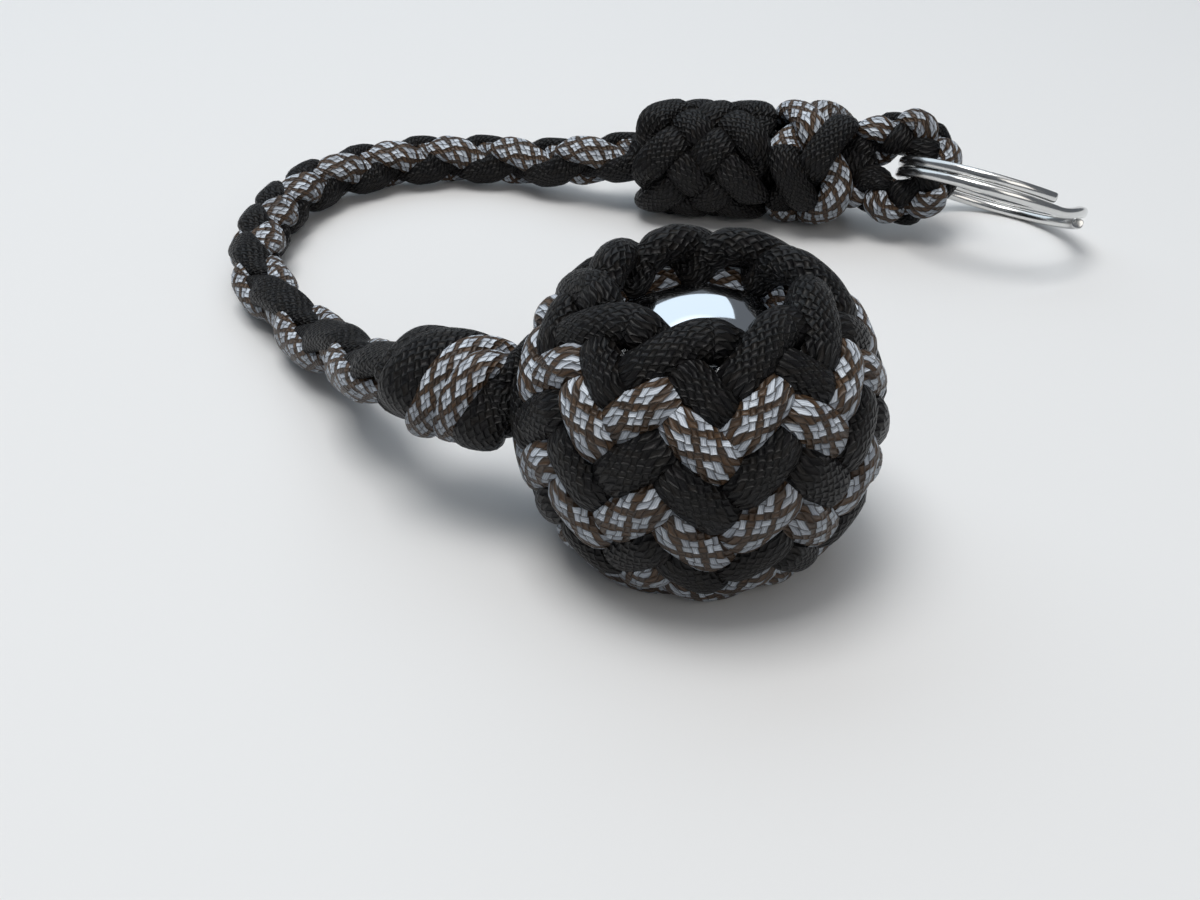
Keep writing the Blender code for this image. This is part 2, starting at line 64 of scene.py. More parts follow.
SKY_WALLS = (0.13, 0.14, 0.155, 1.0)
SKY_CEILING = (0.85, 0.86, 0.88, 1.0)
SKY_STRENGTH = 1.0
# A lamp's place, its target, its two sides, its watts and its tint.
LAMPS = {
    "window_lamp": ((-0.235, 0.55, 0.60), (0.0, 0.0, 0.015), (1.2, 0.62), 2.4, (0.78, 0.90, 1.0)),
    "top_lamp": ((-0.15, -0.05, 0.75), (-0.01, 0.0, 0.0), (0.4, 0.4), 3.0, (1.0, 0.99, 0.97)),
    "front_lamp": ((0.25, -0.60, 0.45), (0.0, 0.0, 0.01), (0.5, 0.4), 0.9, (1.0, 0.96, 0.90)),
}
MIX_INPUTS = (0, 6, 7)
MIX_OUTPUT = 2


def under_ball(x, y, height):
    """A place in millimetres, from the ball's middle across the table, and above the table."""
    return np.array((BALL[0] + x * mm, BALL[1] + y * mm, height * mm))


def in_scene(name, data):
    """A new object, put in the scene."""
    thing = bpy.data.objects.new(name, data)
    bpy.context.scene.collection.objects.link(thing)
    return thing


def fill(tree, socket, value):
    """Joins a node's input to an output, or sets it to a plain value."""
    if isinstance(value, bpy.types.NodeSocket):
        tree.links.new(value, socket)
    else:
        socket.default_value = value


def reckoned(tree, operation, *values):
    """One sum in a node tree, of outputs or plain numbers."""
    node = tree.nodes.new("ShaderNodeMath")
    node.operation = operation
    for socket, value in zip(node.inputs, values):
        fill(tree, socket, value)
    return node.outputs[0]


def mixed(tree, share, first, second):
    """In a node tree, the colour that lies a share of the way from one to another."""
    node = tree.nodes.new("ShaderNodeMix")
    node.data_type = "RGBA"
    for place, value in zip(MIX_INPUTS, (share, first, second)):
        fill(tree, node.inputs[place], value)
    return node.outputs[MIX_OUTPUT]


def ranged(tree, value, low, high, to_low=0.0, to_high=1.0):
    """In a node tree, a value carried evenly from one range to another and held at its ends."""
    node = tree.nodes.new("ShaderNodeMapRange")
    words = ("Value", "From Min", "From Max", "To Min", "To Max")
    for word, number in zip(words, (value, low, high, to_low, to_high)):
        fill(tree, node.inputs[word], number)
    return node.outputs[0]


def parted(tree, vector):
    """The three parts of a vector in a node tree."""
    node = tree.nodes.new("ShaderNodeSeparateXYZ")
    tree.links.new(vector, node.inputs[0])
    return node.outputs


def new_finish(name):
    """A new material, with its node tree and its shader."""
    finish = bpy.data.materials.new(name)
    finish.use_nodes = True
    return finish, finish.node_tree, finish.node_tree.nodes["Principled BSDF"]


def make_floor():
    """A wide flat square of table. Seen straight or in a mirror it is pale, but it throws little
    light back up, as a dark table would."""
    finish, tree, shader = new_finish("table_top")
    ray = tree.nodes.new("ShaderNodeLightPath")
    seen = reckoned(tree, "MAXIMUM", ray.outputs["Is Camera Ray"], ray.outputs["Is Glossy Ray"])
    fill(tree, shader.inputs["Base Color"], mixed(tree, seen, FLOOR_SHADE, FLOOR_COLOUR))
    fill(tree, shader.inputs["Roughness"], FLOOR_ROUGHNESS)
    mesh = bpy.data.meshes.new("table_top")
    signs = ((-1, -1), (1, -1), (1, 1), (-1, 1))
    mesh.from_pydata([(x * FLOOR_HALF, y * FLOOR_HALF, 0) for x, y in signs], [], [(0, 1, 2, 3)])
    mesh.materials.append(finish)
    in_scene("table_top", mesh)


def make_lamp(name, place, target, sides, watts, tint):
    """A rectangular area lamp at a place, facing a target."""
    data = bpy.data.lights.new(name, "AREA")
    data.shape = "RECTANGLE"
    data.size, data.size_y = sides
    data.energy = watts
    data.color = tint
    lamp = in_scene(name, data)
    x, y, z = np.array(place) - np.array(target)
    lamp.location = place
    lamp.rotation_euler = (math.atan2(math.hypot(x, y), z), 0, math.atan2(x, -y))


def make_camera():
    """The photograph's own view."""
    data = bpy.data.cameras.new("camera")
    data.sensor_width = SENSOR_MM
    data.lens = LENS_MM
    data.clip_start = CAMERA_NEAR
    camera = in_scene("camera", data)
    camera.location = under_ball(*CAMERA_PLACE)
    camera.rotation_euler = (math.radians(90 - CAMERA_PITCH_DEG), 0, 0)
    bpy.context.scene.camera = camera


def light_world():
    """A dim room with a bright ceiling."""
    world = bpy.data.worlds.new("sky")
    bpy.context.scene.world = world
    world.use_nodes = True
    tree = world.node_tree
    background = tree.nodes["Background"]
    way = tree.nodes.new("ShaderNodeTexCoord")
    upward = ranged(tree, parted(tree, way.outputs["Generated"])[2], *SKY_EDGE)
    fill(tree, background.inputs["Color"], mixed(tree, upward, SKY_WALLS, SKY_CEILING))
    fill(tree, background.inputs["Strength"], SKY_STRENGTH)


make_floor()
make_camera()
light_world()
for lamp_name, lamp_values in LAMPS.items():
    make_lamp(lamp_name, *lamp_values)
bpy.context.scene.view_settings.view_transform = "Standard"

# Braided lanyard.
# Four cords, two black and two patterned, are braided round each other into one round lanyard.
# It leaves the collar, runs left and round the back on the table, and goes into the woven band.
TABLE_CLEARANCE = 0.05 * mm
LANYARD_ROUTE = (
    (-30.2, 7.6, 14.0),
    (-34.4, 13.2, 11.6),
    (-39.4, 23.0, 8.0),
    (-44.0, 31.0, 5.4),
    (-48.6, 38.4, 4.3),
    (-53.6, 46.6, 4.2),
    (-57.2, 54.6, 4.2),
    (-58.4, 64.0, 4.2),
    (-57.4, 74.6, 4.2),
    (-53.8, 83.6, 4.2),
    (-46.6, 90.4, 4.2),
    (-37.4, 93.8, 4.2),
    (-27.0, 93.6, 4.3),
    (-17.6, 89.6, 5.4),
    (-10.6, 86.4, 7.2),
    (-3.8, 84.7, 8.4),
)
ROUTE_STEP = 0.5 * mm
ROUTE_POINTS = 20
BRAID_TUCK = 3.0 * mm
BRAID_BUMPS = mm * np.array(
    (1.8, 21.5, 41.7, 57.6, 67.3, 75.9, 85.2, 94.7, 104.5, 114.4, 126.7, 139.0)
)
BRAID_EVENED = 2.5 * mm
BRAID_OUTER = (2.4 * mm, 4.6 * mm, 3.0 * mm)
BRAID_INNER = (1.35 * mm, 4.4 * mm, 2.6 * mm)
BRAID_ROWS_DEG = (-10.0, -20.0, -55.0, -62.0)
BRAID_FULLNESS = 2.4
BRAID_SLOWING = 0.33
HOLD = 1.3
DOME_DEG = (75, 50, 25)
OVAL_RATIO = 1.5
OVAL_POINTS = 2001


def unit(vectors):
    """Vectors at length one."""
    vectors = np.asarray(vectors, float)
    return vectors / np.linalg.norm(vectors, axis=-1, keepdims=True)


def between(low, high, share):
    """The value that lies a share of the way from one to another."""
    return low + (high - low) * share


def arc_lengths(path):
    """How far along a path each of its points lies."""
    return np.concatenate([[0.0], np.cumsum(np.linalg.norm(np.diff(path, axis=0), axis=1))])


def smooth_route(points, step):
    """The smooth curve through a route's points, in equal steps: each stretch is a cubic whose
    slope at a point is half the way from the point before it to the point after it."""
    points = np.asarray(points, float)
    padded = np.vstack([2 * points[0] - points[1], points, 2 * points[-1] - points[-2]])
    a, b, c, d = (padded[k : len(padded) - 3 + k, None, :] for k in range(4))
    t = np.linspace(0, 1, ROUTE_POINTS, endpoint=False)[None, :, None]
    squared, cubed = 2 * a - 5 * b + 4 * c - d, 3 * b - a - 3 * c + d
    curve = 0.5 * (2 * b + (c - a) * t + squared * t**2 + cubed * t**3)
    dense = np.vstack([curve.reshape(-1, 3), points[-1:]])
    along = arc_lengths(dense)
    places = np.linspace(0, along[-1], round(along[-1] / step) + 1)
    return np.stack([np.interp(places, along, dense[:, axis]) for axis in range(3)], axis=1)


def square_axes(path, outward):
    """The way of travel at each point, and the outward and sideways ways square to it."""
    travel = unit(np.gradient(path, axis=0))
    outward = np.broadcast_to(outward, path.shape)
    out = unit(outward - np.sum(outward * travel, axis=1, keepdims=True) * travel)
    return travel, out, np.cross(travel, out)


def rounded_section(around, fullness):
    """A closed oval: cosine and sine of the turn, each drawn out to the power of two over the
    fullness, at places equally far apart round it when it is half as wide again as it is thick."""
    turn = np.linspace(0, 2 * math.pi, OVAL_POINTS)
    cosine, sine = (
        np.sign(wave) * np.abs(wave) ** (2.0 / fullness) for wave in (np.cos(turn), np.sin(turn))
    )
    round_it = arc_lengths(np.stack([OVAL_RATIO * cosine, sine], axis=1))
    places = np.arange(around) / around * round_it[-1]
    return np.interp(places, round_it, cosine), np.interp(places, round_it, sine)


def repeated_ends(rows):
    """Rows with the first and the last each given once more for each ring of a dome."""
    more = [(len(DOME_DEG), len(DOME_DEG))] + [(0, 0)] * (rows.ndim - 1)
    return np.pad(rows, more, mode="edge")


def pushed_out(grid, hole):
    """A grid's points, those too near the axis of a hole moved straight out to its radius."""
    centre, axis, radius = hole
    away = grid - centre
    away = away - np.sum(away * axis, axis=-1, keepdims=True) * axis
    far = np.linalg.norm(away, axis=-1, keepdims=True)
    return grid + away / far * np.maximum(radius - far, 0)


def grid_object(name, grid, along):
    """A closed mesh from a grid of rings: a four-sided face between each two neighbours on each two
    rings, and one many-sided face on each end ring. Its UV map, cord, holds how far along each
    ring lies and the share of a turn round it."""
    rings, around = grid.shape[:2]
    row, column = np.meshgrid(np.arange(rings - 1), np.arange(around), indexing="ij")
    after = (column + 1) % around
    corners = np.stack([row * around + column, row * around + after], axis=-1)
    faces = np.concatenate([corners, (corners + around)[..., ::-1]], axis=-1).reshape(-1, 4)
    ends = [np.arange(around)[::-1], (rings - 1) * around + np.arange(around)]
    loops = np.concatenate([faces.ravel(), *ends])
    starts = np.concatenate([np.arange(len(faces)) * 4, len(faces) * 4 + np.array((0, around))])
    mesh = bpy.data.meshes.new(name)
    mesh.vertices.add(rings * around)
    mesh.vertices.foreach_set("co", grid.reshape(-1))
    mesh.loops.add(len(loops))
    mesh.loops.foreach_set("vertex_index", loops)
    mesh.polygons.add(len(starts))
    mesh.polygons.foreach_set("loop_start", starts)
    share = np.stack([column, column + 1, column + 1, column], axis=-1) / around
    reach = along[np.stack([row, row, row + 1, row + 1], axis=-1)]
    cap_share = np.tile(np.arange(around) / around, 2)
    caps = np.stack([np.repeat(along[[0, -1]], around), cap_share], axis=-1)
    uv = np.vstack([np.stack([reach.ravel(), share.ravel()], axis=-1), caps])
    mesh.uv_layers.new(name="cord").data.foreach_set("uv", uv.ravel())
    mesh.update(calc_edges=True)
    mesh.validate()
    mesh.shade_smooth()
    return in_scene(name, mesh)


def cord_mesh(
    name, path, outward, width, thickness, around=20, fullness=2.2, dome=0.5, hole=None
):
    """A tube along a path. Each point of its grid is the path's point, plus the section's sine
    times half the thickness outward, plus its cosine times half the width sideways. Its ends are
    domes: rings that shrink as a cosine while they move on as a sine, up to a share of the
    thickness. Whatever would sink into the table is pressed flat on it."""
    travel, out, side = square_axes(path, outward)
    width = np.broadcast_to(width, len(path)).astype(float)
    thickness = np.broadcast_to(thickness, len(path)).astype(float)
    along = arc_lengths(path)
    rise = np.radians(DOME_DEG)
    first, last = dome * thickness[0], dome * thickness[-1]
    before = path[0] - np.outer(np.sin(rise) * first, travel[0])
    after = path[-1] + np.outer(np.sin(rise[::-1]) * last, travel[-1])
    shrink = np.concatenate([np.cos(rise), np.ones(len(path)), np.cos(rise[::-1])])
    places = np.vstack([before, path, after])
    out, side = repeated_ends(out), repeated_ends(side)
    half_width = 0.5 * shrink * repeated_ends(width)
    half_thick = 0.5 * shrink * repeated_ends(thickness)
    cosine, sine = rounded_section(around, fullness)
    grid = places[:, None, :] + (half_width[:, None] * cosine)[..., None] * side[:, None, :]
    grid = grid + (half_thick[:, None] * sine)[..., None] * out[:, None, :]
    grid = grid if hole is None else pushed_out(grid, hole)
    grid[..., 2] = np.maximum(grid[..., 2], TABLE_CLEARANCE)
    far_before, far_after = -np.sin(rise) * first, along[-1] + np.sin(rise[::-1]) * last
    return grid_object(name, grid, np.concatenate([far_before, along, far_after]))


def joined(name, things):
    """Several meshes made one object."""
    with bpy.context.temp_override(active_object=things[0], selected_editable_objects=things):
        bpy.ops.object.join()
    things[0].name = name
    things[0].data.name = name
    return things[0]


def braid_turns(along, bumps):
    """How far the strands have turned round at each place: half a turn from each bump to the next,
    going on at the same rate before the first and past the last, and evened out over a few
    millimetres."""
    step = along[1] - along[0]
    reach = round(BRAID_EVENED / step)
    kernel = np.ones(2 * reach + 1)
    further = step * np.arange(1, reach + 1)
    wide = np.concatenate([along[0] - further[::-1], along, along[-1] + further])
    first_rate, last_rate = 1 / (bumps[1] - bumps[0]), 1 / (bumps[-1] - bumps[-2])
    halves = np.interp(wide, bumps, np.arange(len(bumps)))
    halves = np.where(wide < bumps[0], (wide - bumps[0]) * first_rate, halves)
    past_last = len(bumps) - 1 + (wide - bumps[-1]) * last_rate
    halves = np.where(wide > bumps[-1], past_last, halves)
    return math.pi * np.convolve(halves, kernel / kernel.sum(), mode="valid")


def held(level):
    """A swing between minus one and one that stays a little at both: the sine of a quarter turn
    times the level, drawn out and cut off at one."""
    return np.sin(0.5 * math.pi * np.clip(HOLD * level, -1, 1))


def braid_strand(name, path, up, number, way, turned, rows_deg, outer, inner, hole=None):
    """One of the two strands of a colour in a four-strand round braid. It winds round the path, one
    way for one colour (1) and the other for the other (-1), and swings between its outer and its
    inner place as the cosine of twice its turn, held a little at both. It turns more slowly where
    it is outside, by a third of the sine of twice its turn, so that it lies there long and shallow.
    An outer or inner place is a distance from the path, a width and a thickness. The rows of bumps
    are turned round the path by angles given at equal shares of its length."""
    _, out, side = square_axes(path, up)
    along = arc_lengths(path)
    share = 0.5 * (1 + held(-way * np.cos(2 * turned)))
    row_places = np.linspace(0, 1, len(rows_deg))
    rows = np.radians(np.interp(along / along[-1], row_places, rows_deg))
    angle = way * (turned + BRAID_SLOWING * way * np.sin(2 * turned)) + rows + math.pi * number
    radius, width, thickness = (between(low, high, share) for low, high in zip(inner, outer))
    outward = np.cos(angle)[:, None] * out + np.sin(angle)[:, None] * side
    line = path + radius[:, None] * outward
    return cord_mesh(name, line, outward, width, thickness, fullness=BRAID_FULLNESS, hole=hole)


# Yarns of the sheath: how a brick reaches over its neighbours, how wide a dark yarn is beside a
# light one, how its rows waver, how full its two arches are, and how many lines run along it.
BRICKS_ROUND = 15.0
BRICK_LENGTH = 1.02 * mm
DARK_EVERY = 3.0
BRICK_REACH = 0.09
DARK_WIDTH = 0.95
WAVER = 0.35
WAVER_NOISE = (900.0, 1.0)
ACROSS_POWER = 2.6
ONWARD_POWER = 3.6
FIBRE_LINES = 4
BRICK_NUMBER_STEP = 23.0


def noise(tree, scale, detail, output="Fac"):
    """Cloudy noise in a piece's own space, in a node tree."""
    place = tree.nodes.new("ShaderNodeTexCoord")
    cloud = tree.nodes.new("ShaderNodeTexNoise")
    fill(tree, cloud.inputs["Vector"], place.outputs["Object"])
    fill(tree, cloud.inputs["Scale"], scale)
    fill(tree, cloud.inputs["Detail"], detail)
    return cloud.outputs[output]


def sheath_group():
    """A node group: the plaited sheath of a cord, from its UV map. Yarns wind round the cord both
    ways and cross in bricks, and the two ways take turns on top. A brick reaches a little over both
    neighbours at its ends, and is a rounded hump: the product of two arches, one across it and one
    along it. Every third yarn each way is a dark one, and a little narrower. It puts out the height
    of the bricks, the fine lines along their yarns, a number for each brick, and whether it is a
    dark one."""
    tree = bpy.data.node_groups.new("plaited_sheath", "ShaderNodeTree")
    maths = partial(reckoned, tree)
    given_values = {
        "Bricks round": BRICKS_ROUND,
        "Brick length": BRICK_LENGTH,
        "Dark every": DARK_EVERY,
    }
    for words, value in given_values.items():
        socket = tree.interface.new_socket(words, in_out="INPUT", socket_type="NodeSocketFloat")
        socket.default_value = value
    for words in ("Height", "Fibres", "Brick", "Dark"):
        tree.interface.new_socket(words, in_out="OUTPUT", socket_type="NodeSocketFloat")
    given, result = tree.nodes.new("NodeGroupInput"), tree.nodes.new("NodeGroupOutput")
    bricks_round, brick_length, dark_every = (given.outputs[words] for words in given_values)

    def arch(value, half, power):
        """One at the middle of a brick, and nothing at half its size from there."""
        from_middle = maths("ABSOLUTE", maths("SUBTRACT", value, 0.5))
        share = maths("MINIMUM", maths("DIVIDE", from_middle, half), 1.0)
        return maths("SUBTRACT", 1.0, maths("POWER", share, power))

    def narrowed(value):
        """Yarns counted across, the dark ones narrower and the light ones wider to match."""
        within = maths("FLOORED_MODULO", value, dark_every)
        dark = maths("MINIMUM", maths("DIVIDE", within, DARK_WIDTH), 1.0)
        light_yarns = maths("SUBTRACT", dark_every, 1.0)
        light_width = maths("DIVIDE", maths("SUBTRACT", dark_every, DARK_WIDTH), light_yarns)
        past_dark = maths("MAXIMUM", maths("SUBTRACT", within, DARK_WIDTH), 0.0)
        yarns = maths("ADD", dark, maths("DIVIDE", past_dark, light_width))
        return maths("ADD", maths("SUBTRACT", value, within), yarns)

    def one_where_dark(value):
        """One on every dark yarn, and nothing on the light ones."""
        return maths("LESS_THAN", maths("FLOORED_MODULO", value, dark_every), 0.5)

    uv = tree.nodes.new("ShaderNodeUVMap")
    uv.uv_map = "cord"
    reach, turn, _ = parted(tree, uv.outputs[0])
    lengths = maths("DIVIDE", reach, brick_length)
    turns = maths("MULTIPLY", turn, bricks_round)
    waver = parted(tree, noise(tree, *WAVER_NOISE, output="Color"))
    one_way = narrowed(maths("MULTIPLY_ADD", waver[0], WAVER, maths("ADD", lengths, turns)))
    other_way = narrowed(maths("MULTIPLY_ADD", waver[1], WAVER, maths("SUBTRACT", lengths, turns)))
    k, m = maths("FLOOR", one_way), maths("FLOOR", other_way)
    in_k, in_m = maths("SUBTRACT", one_way, k), maths("SUBTRACT", other_way, m)
    first_on_top = maths("FLOORED_MODULO", maths("ADD", k, m), 2.0)
    second_on_top = maths("SUBTRACT", 1.0, first_on_top)
    first_across = maths("MULTIPLY", in_k, first_on_top)
    first_onward = maths("MULTIPLY", in_m, first_on_top)
    cell_across = maths("MULTIPLY_ADD", in_m, second_on_top, first_across)
    cell_onward = maths("MULTIPLY_ADD", in_k, second_on_top, first_onward)
    beyond = maths("GREATER_THAN", cell_across, 1.0 - BRICK_REACH)
    step = maths("SUBTRACT", beyond, maths("LESS_THAN", cell_across, BRICK_REACH))
    reached = maths("ABSOLUTE", step)
    own = maths("SUBTRACT", 1.0, reached)
    across = maths("MULTIPLY_ADD", cell_onward, reached, maths("MULTIPLY", cell_across, own))
    past = maths("SUBTRACT", cell_across, step)
    onward = maths("MULTIPLY_ADD", past, reached, maths("MULTIPLY", cell_onward, own))
    k = maths("MULTIPLY_ADD", step, first_on_top, k)
    m = maths("MULTIPLY_ADD", step, second_on_top, m)
    rise = arch(across, 0.5 - BRICK_REACH, ACROSS_POWER)
    run = arch(onward, 0.5 + BRICK_REACH, ONWARD_POWER)
    wrapped_k = maths("FLOORED_MODULO", k, bricks_round)
    wrapped_m = maths("FLOORED_MODULO", m, bricks_round)
    lines = maths("COSINE", maths("MULTIPLY", across, 2 * math.pi * FIBRE_LINES))
    number = maths("MULTIPLY_ADD", wrapped_k, BRICK_NUMBER_STEP, wrapped_m)
    fill(tree, result.inputs["Height"], maths("MULTIPLY", rise, run))
    fill(tree, result.inputs["Fibres"], lines)
    fill(tree, result.inputs["Brick"], number)
    fill(tree, result.inputs["Dark"], maths("MAXIMUM", one_where_dark(k), one_where_dark(m)))
    return tree


PLAITED_SHEATH = sheath_group()
CORD_ROUGHNESS = 0.42
RELIEF_DEPTH = 0.22 * mm
# How the sheath's numbers become colour and relief. A noise is a scale and a detail. Each of the
# others carries the range of its first two numbers to that of its last two.
WEAR_NOISE = (160.0, 4.0)
WEAR = (0.50, 0.75, 0.0, 0.35)
# Painted shade: the line shade darkens the fibre grooves, and the gap shade the brick gaps.
LINE_SHADE = (-1.0, 0.2, 0.30, 0.0)
GAP_SHADE = (0.0, 0.32, 0.9, 0.0)
LINE_RELIEF = (-1.0, 1.0, 0.0, 0.07)
GRAIN_NOISE = (2600.0, 2.0)


def cord_finish(name, light, dark, painted_shade_colour, glint):
    """A plaited nylon cord: light and dark bricks, each a little different from the next, with
    painted shade in the gaps between them and in the fine lines along their yarns, and some wear."""
    finish, tree, shader = new_finish(name)
    mix, spread = partial(mixed, tree), partial(ranged, tree)
    sheath = tree.nodes.new("ShaderNodeGroup")
    sheath.node_tree = PLAITED_SHEATH
    height, lines, brick, is_dark = sheath.outputs
    varied = tree.nodes.new("ShaderNodeTexWhiteNoise")
    varied.noise_dimensions = "1D"
    fill(tree, varied.inputs["W"], brick)
    chance = varied.outputs["Value"]
    tint = mix(is_dark, mix(chance, *light), mix(chance, *dark))
    tint = mix(spread(noise(tree, *WEAR_NOISE), *WEAR), tint, dark[1])
    # Painted shade: darker towards the shade colour in the fibre grooves and the brick gaps.
    tint = mix(spread(lines, *LINE_SHADE), tint, painted_shade_colour)
    tint = mix(spread(height, *GAP_SHADE), tint, painted_shade_colour)
    line_relief = spread(lines, *LINE_RELIEF)
    relief = reckoned(tree, "MULTIPLY_ADD", line_relief, noise(tree, *GRAIN_NOISE), height)
    bump = tree.nodes.new("ShaderNodeBump")
    fill(tree, bump.inputs["Strength"], 1.0)
    fill(tree, bump.inputs["Distance"], RELIEF_DEPTH)
    fill(tree, bump.inputs["Height"], relief)
    fill(tree, shader.inputs["Base Color"], tint)
    fill(tree, shader.inputs["Normal"], bump.outputs[0])
    fill(tree, shader.inputs["Roughness"], CORD_ROUGHNESS)
    fill(tree, shader.inputs["Specular IOR Level"], glint)
    return finish


def colour(red, green, blue):
    """A colour from its screen values, 0 to 255, as light."""
    values = np.array((red, green, blue)) / 255
    light = np.where(values <= 0.04045, values / 12.92, ((values + 0.055) / 1.055) ** 2.4)
    return (*light.tolist(), 1.0)


# Each finish's shade colour is painted shade for its brick gaps and fibre grooves.
CORD_FINISHES = {
    "black": cord_finish(
        "black_cord",
        light=(colour(16, 16, 18), colour(30, 28, 29)),
        dark=(colour(17, 17, 18), colour(31, 28, 26)),
        painted_shade_colour=colour(3, 3, 4),
        glint=0.20,
    ),
    "patterned": cord_finish(
        "patterned_cord",
        light=(colour(230, 239, 250), colour(176, 183, 194)),
        dark=(colour(90, 69, 50), colour(57, 43, 31)),
        painted_shade_colour=colour(44, 36, 30),
        glint=0.45,
    ),
}


def dress(piece, colour_name, *replaced):
    """Gives a cord piece its finish, and puts it in place of its solids."""
    piece.data.materials.clear()
    piece.data.materials.append(CORD_FINISHES[colour_name])
    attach(piece, "keychain")
    if replaced:
        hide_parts(*replaced)


def make_braid(stem, replaced, path, up, *swing, hole=None):
    """A four-strand round braid along a path: one piece for the two black strands, which stands
    for the solid, and one for the two patterned strands."""
    pieces = []
    for colour_name, way, nodes in (("black", -1, (replaced,)), ("patterned", 1, ())):
        strands = [
            braid_strand(f"{stem}_{colour_name}_{n}", path, up, n, way, *swing, hole=hole)
            for n in range(2)
        ]
        pieces.append(joined(f"{stem}_{colour_name}_strands", strands))
        dress(pieces[-1], colour_name, *nodes)
    return pieces


END_AXIS = unit((0.9807, -0.1919, 0.0373))
LANYARD = smooth_route([under_ball(*place) for place in LANYARD_ROUTE], ROUTE_STEP)
tuck = np.arange(BRAID_TUCK, 0, -ROUTE_STEP)
tuck_in = LANYARD[0] - np.outer(tuck, unit(LANYARD[1] - LANYARD[0]))
braid_path = np.vstack([tuck_in, LANYARD, LANYARD[-1] + np.outer(tuck[::-1], END_AXIS)])
turned = braid_turns(arc_lengths(braid_path) - BRAID_TUCK, BRAID_BUMPS)
lanyards = make_braid(
    "lanyard", "lanyard_braid", braid_path, (0, 0, 1), turned, BRAID_ROWS_DEG,
    BRAID_OUTER, BRAID_INNER,
)

# Steel ball.
# A polished bearing ball, loose stock, held by the cover that is woven tight round it. Only the
# window at the top shows it.
BALL_RADIUS = 12.7 * mm
BALL_RINGS = 96
BALL_AROUND = 128
POLE_GAP = 0.004
STEEL_TINT = (0.80, 0.83, 0.86, 1.0)
STEEL_SMEARS = (90.0, 5.0)
STEEL_ROUGHNESS = (0.03, 0.11)


def ball_surface(name, centre, radius):
    """A sphere: rings of sine and cosine of the angle from its top pole."""
    down = np.linspace(POLE_GAP, math.pi - POLE_GAP, BALL_RINGS)
    turn = 2 * math.pi * np.arange(BALL_AROUND) / BALL_AROUND
    across = np.outer(np.sin(down), np.cos(turn)), np.outer(np.sin(down), np.sin(turn))
    height = np.repeat(np.cos(down)[:, None], BALL_AROUND, axis=1)
    grid = np.stack([*across, height], axis=-1)
    return grid_object(name, centre + radius * grid[:, ::-1], radius * down)


def metal_finish(name, tint, noise_values, roughness):
    """A bright metal whose roughness clouds over between two values."""
    finish, tree, shader = new_finish(name)
    clouded = ranged(tree, noise(tree, *noise_values), 0.0, 1.0, *roughness)
    fill(tree, shader.inputs["Roughness"], clouded)
    fill(tree, shader.inputs["Base Color"], tint)
    fill(tree, shader.inputs["Metallic"], 1.0)
    return finish


ball = ball_surface("bearing_ball", BALL, BALL_RADIUS)
steel = metal_finish("polished_steel", STEEL_TINT, STEEL_SMEARS, STEEL_ROUGHNESS)
ball.data.materials.append(steel)
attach(ball, "keychain")
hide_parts("steel_ball")

# Woven cover.
# Two cords, one black and one patterned, each go nine times up and down round the ball, over two
# and under two, and leave a round window at the top and at the bottom.
BIGHTS = 9
COLUMN_DEG = 360.0 / (4 * BIGHTS)
LEG = 14
OUTER_RIM = {"black": 0, "patterned": LEG}
RIM_LEVELS = {0: 0.9, -1: 1.1, 1: 0.3}
TIGHT_LEVEL = 1.15
TOP_ROW = {"black": 8, "patterned": 6}
ROW_REACH_DEG = 62.0
ROW_STEP_DEG = 8.2
FIRST_COLUMN_DEG = -58.8
NECK_COLUMN = 10
NECK_STEPS = {"black": (22.04, 272.7), "patterned": (22.5, 272.3)}
NECK_PULL = {"black": 0.32, "patterned": 0.55}
NECK_POINTS = 16
COVER_STEP = 0.125
RIM_ROUNDING = 1.6
OVER_RADIUS = 17.05 * mm
UNDER_RADIUS = 14.2 * mm
OVER_SECTION = (4.9 * mm, 3.8 * mm)
UNDER_SECTION = (4.0 * mm, 2.9 * mm)
LEAST_WIDTHS = (3.2 * mm, 4.3 * mm)
CLOSENESS = 1.3
COVER_FULLNESS = 2.1
COLLAR_BASE = BALL + np.array((-20.3, 2.8, 0.3)) * mm
CORE_STRAND_APART = 1.5 * mm
NECK_CORD = 3.3 * mm


def row_latitude(row):
    """The latitude of a row of the weave: the reach times the sine of its way from the equator."""
    return np.radians(ROW_REACH_DEG * np.sin(np.radians(ROW_STEP_DEG * row)))


def weave_levels(steps, colour_name):
    """Over (1) or under (-1) at whole steps along a cord of the cover, two over and two under. Its
    outer rim lies over, at the bight and the step before it, and a little at the step after it. Two
    steps before each rim it is pulled up over the others."""
    step = steps % (2 * LEG)
    over = np.where(step < LEG, np.isin(step % 4, (3, 0)), np.isin(step % 4, (1, 2)))
    levels = np.where(over & ~np.isin(step, (0, LEG)), 1.0, -1.0)
    levels = np.where(np.isin(step, (LEG - 2, 2 * LEG - 2)), TIGHT_LEVEL, levels)
    for from_bight, level in RIM_LEVELS.items():
        place = (OUTER_RIM[colour_name] + from_bight) % (2 * LEG)
        levels = np.where(step == place, level, levels)
    return levels


def half_cosine(share):
    """A share of the way, starting and ending flat."""
    return 0.5 * (1 - np.cos(math.pi * share))


def eased(steps, whole, values):
    """Values between whole steps: half a cosine from each to the next."""
    below = np.interp(np.floor(steps), whole, values)
    above = np.interp(np.floor(steps) + 1, whole, values)
    return between(below, above, half_cosine(steps - np.floor(steps)))


